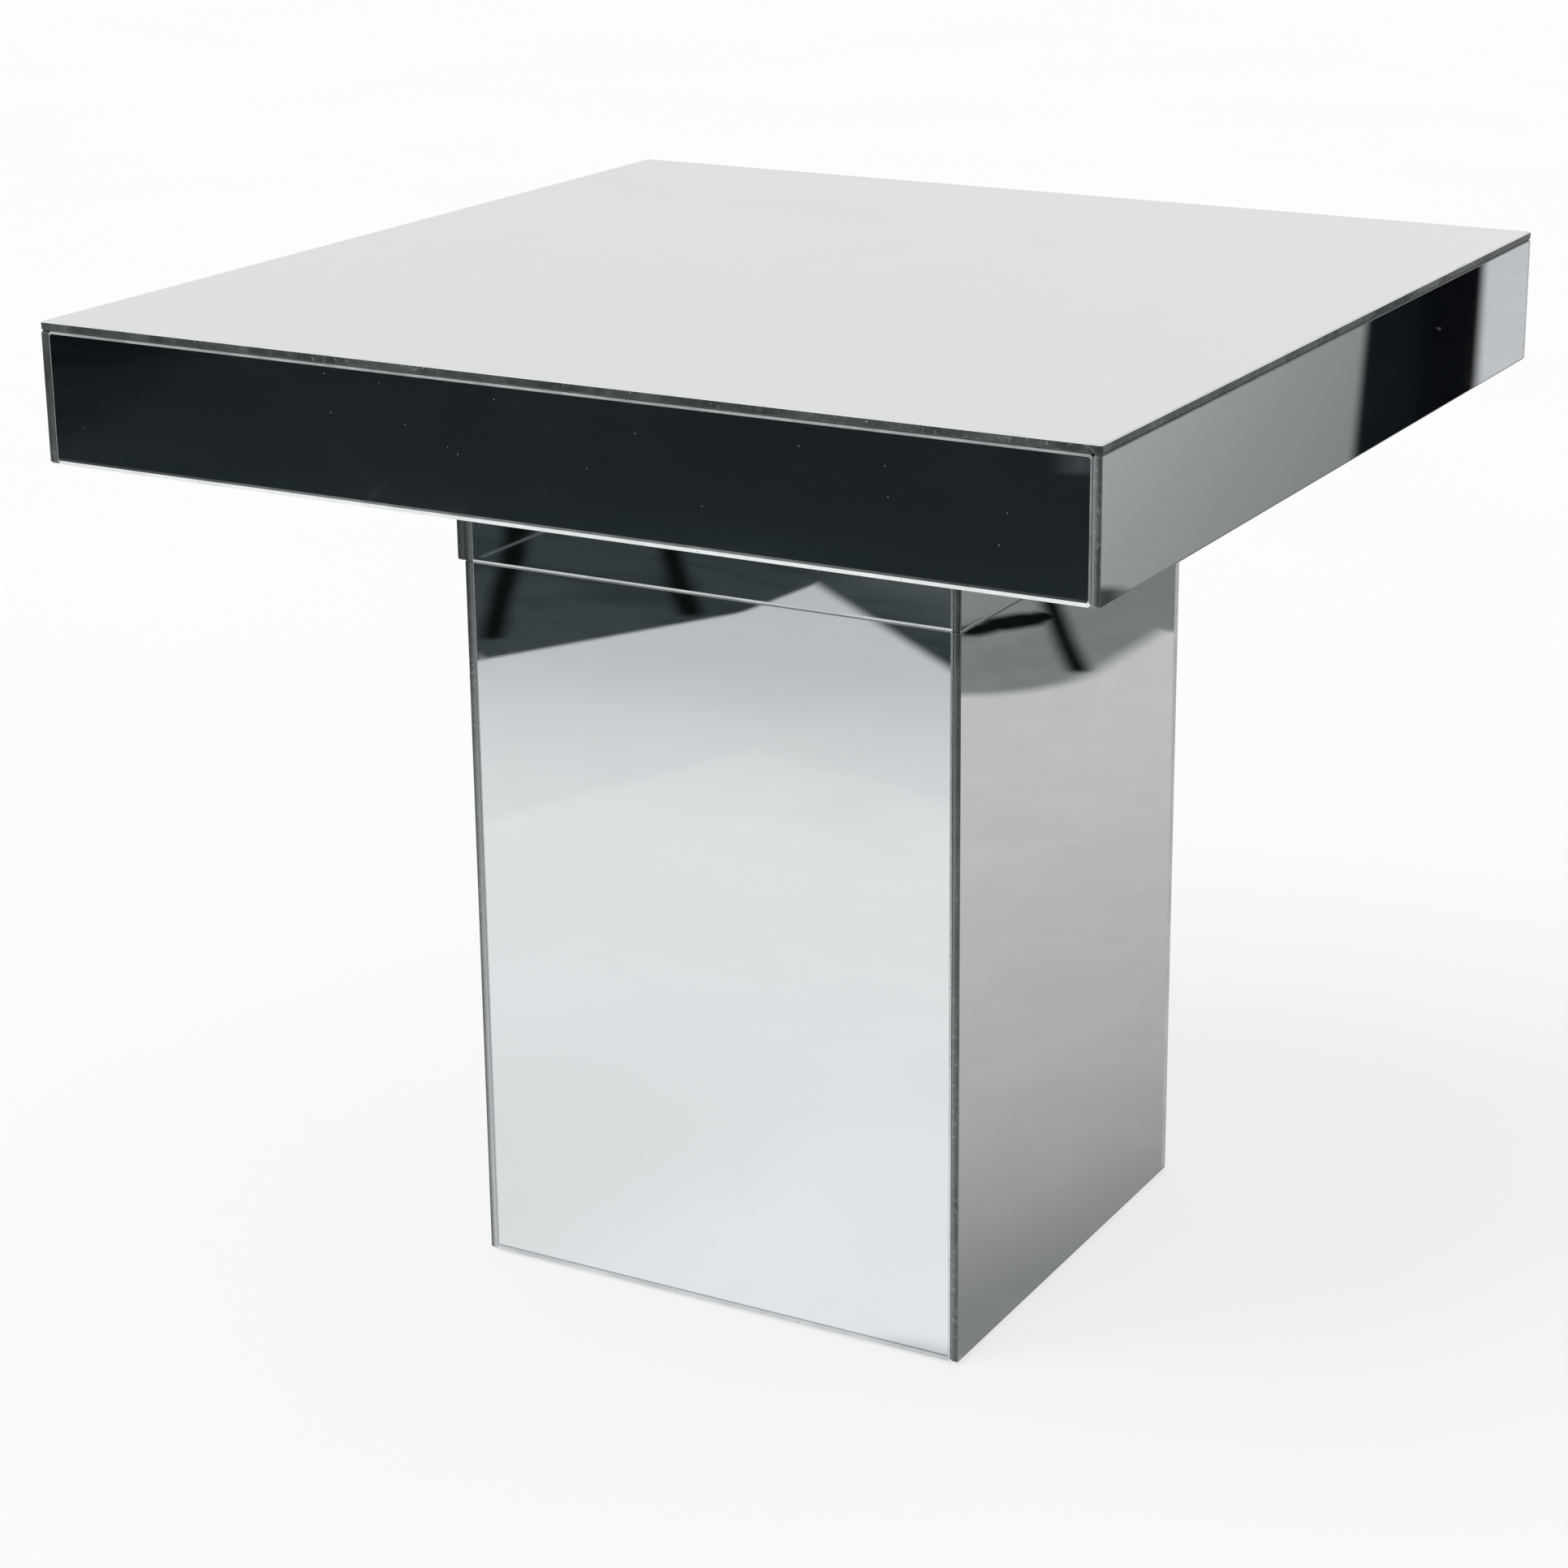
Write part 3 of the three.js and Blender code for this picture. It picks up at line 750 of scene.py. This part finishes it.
def light_and_air():
    world = bpy.data.worlds.new("world")
    bpy.context.scene.world = world
    world.use_nodes = True
    s = Shader(world.node_tree)
    direction = s.node("ShaderNodeTexCoord").outputs["Generated"]
    # The sky that the mirrors see: pale, brighter behind, duller towards the front right
    rear = s.vector_math("DOT_PRODUCT", direction, Vector((0.5, 0.85, 0.1)).normalized()[:])
    duller = s.vector_math("DOT_PRODUCT", direction, Vector((0.6, -0.8, 0.0)).normalized()[:])
    sky = s.mix(s.step(rear, 0.4, 1.0), linear(220, 222, 221), linear(225, 227, 226))
    sky = s.mix(s.step(duller, 0.35, 1.0), sky, linear(176, 182, 185))
    sky = s.mix(s.step(s.noise(direction, 2.2, 3, 0.5), 0.4, 0.8, 0, 0.25), sky, linear(214, 216, 215))
    path = s.node("ShaderNodeLightPath")
    seen = s.node("ShaderNodeBackground", {"Color": linear(250, 250, 250), "Strength": 1.0})
    fill = s.node("ShaderNodeBackground", {"Color": (0.98, 0.99, 1.0, 1), "Strength": SKY_FILL})
    sky = s.mix(1.0, sky, (*(1 / share for share in RETURNED_FLAT), 1), "MULTIPLY")
    mirrored = s.node("ShaderNodeBackground", {"Color": sky, "Strength": 1.0})
    inner = s.node("ShaderNodeMixShader", {0: path.outputs["Is Glossy Ray"], 1: fill.outputs[0]})
    s.tree.links.new(mirrored.outputs[0], inner.inputs[2])
    outer = s.node("ShaderNodeMixShader", {0: path.outputs["Is Camera Ray"], 1: inner.outputs[0]})
    s.tree.links.new(seen.outputs[0], outer.inputs[2])
    output = s.node("ShaderNodeOutputWorld")
    s.tree.links.new(outer.outputs[0], output.inputs[0])

    lamp = bpy.data.lights.new("window_light", "SUN")
    lamp.energy = LAMP_POWER
    lamp.angle = LAMP_SPREAD
    lamp.color = (1.0, 0.995, 0.985)
    sun = bpy.data.objects.new("window_light", lamp)
    sun.rotation_euler = Vector(LAMP_TOWARDS).to_track_quat("Z", "Y").to_euler()
    sun.visible_glossy = False
    bpy.context.scene.collection.objects.link(sun)
    bpy.context.scene.view_settings.view_transform = "Standard"


# ---------------------------------------------------------------------------------------------------------
# The table

SIDES = {"front": (1, -1), "back": (1, 1), "left": (0, -1), "right": (0, 1)}
CORNERS = ("front_left", "front_right", "back_left", "back_right")
BODY_OF = {"apron": "top", "neck": "top", "plinth": "plinth"}


def table():
    pane_materials = {
        "mirror": mirror_material(),
        "rim": mirror_material("silver_rim", RIM, RIM),
        # The arrises below are one ground glass in lit and shaded copies, their brightness painted; the
        # first two are painted reflections of light inside the glass.
        "painted_ghost_line": arris_material("painted_ghost_line_rim", linear(108, 112, 112), linear(140, 144, 143), 0.2, True),
        "ghost": arris_material("far_painted_reflection", linear(184, 189, 188), linear(202, 206, 205), 0.2),
        "dim": arris_material("dim_arris", linear(86, 91, 91), linear(116, 121, 120), 0.4),
        "soft": arris_material("soft_arris", linear(214, 219, 218), linear(236, 240, 239), 0.76),
        "light": arris_material("light_arris", linear(142, 148, 148), linear(182, 187, 186), 0.4),
        "seam": arris_material("seam_arris", linear(206, 211, 211), linear(230, 234, 233), 0.2),
        "bright": arris_material("bright_arris", linear(228, 232, 232), linear(246, 248, 247), 0.1),
        "foot": arris_material("foot_arris", linear(190, 196, 199), linear(214, 219, 221), 0.2),
        "edge": edge_material(),
        "back": back_paint_material(),
    }
    pane("top_mirror", "top", (2, 1), TOP_RIMS, pane_materials)
    for side, outward in SIDES.items():
        band_rims = FACING_RIMS if side in ("front", "back") else SIDE_RIMS
        for band, body in BODY_OF.items():
            lit = EDGE_LIGHT.get(side, {}).get(band)
            node = f"{band}_mirror_{side}"
            pane(node, body, outward, band_rims[band], pane_materials, DUBBED[band], lit)
    strip = "neck_cover_strip_left"
    pane(strip, "top", SIDES["left"], SIDE_RIMS["neck"], pane_materials, STRIP_DUBBED, STRIP_LIGHT)

    fibreboard, black = fibreboard_material(), black_board_material()
    pine = [pine_material(axis) for axis in range(3)]
    steel, nylon = steel_material(), nylon_material()
    for prefix in ("apron_rail", "rib", "neck_wall", "plinth_wall"):
        for side in SIDES:
            finish_node(f"{prefix}_{side}", fibreboard, 0.4 * MM)
    finish_node("top_board", fibreboard, 0.4 * MM)
    finish_node("middle_board", fibreboard, 0.4 * MM)
    for node in ("underside_board", "cap_board", "base_board"):
        finish_node(node, black, 0.5 * MM)
    for side, (axis, _) in SIDES.items():
        finish_node(f"locating_batten_{side}", pine[1 - axis], 0.8 * MM)
        finish_node(f"locating_screw_{side}", steel)
    for corner in CORNERS:
        finish_node(f"corner_batten_{corner}", pine[2], 0.8 * MM)
        finish_node(f"neck_corner_block_{corner}", pine[0], 0.6 * MM)
        finish_node(f"neck_screw_{corner}", steel)
        finish_node(f"glide_{corner}", nylon)


make_camera()
light_and_air()
pale_floor()
room()
table()
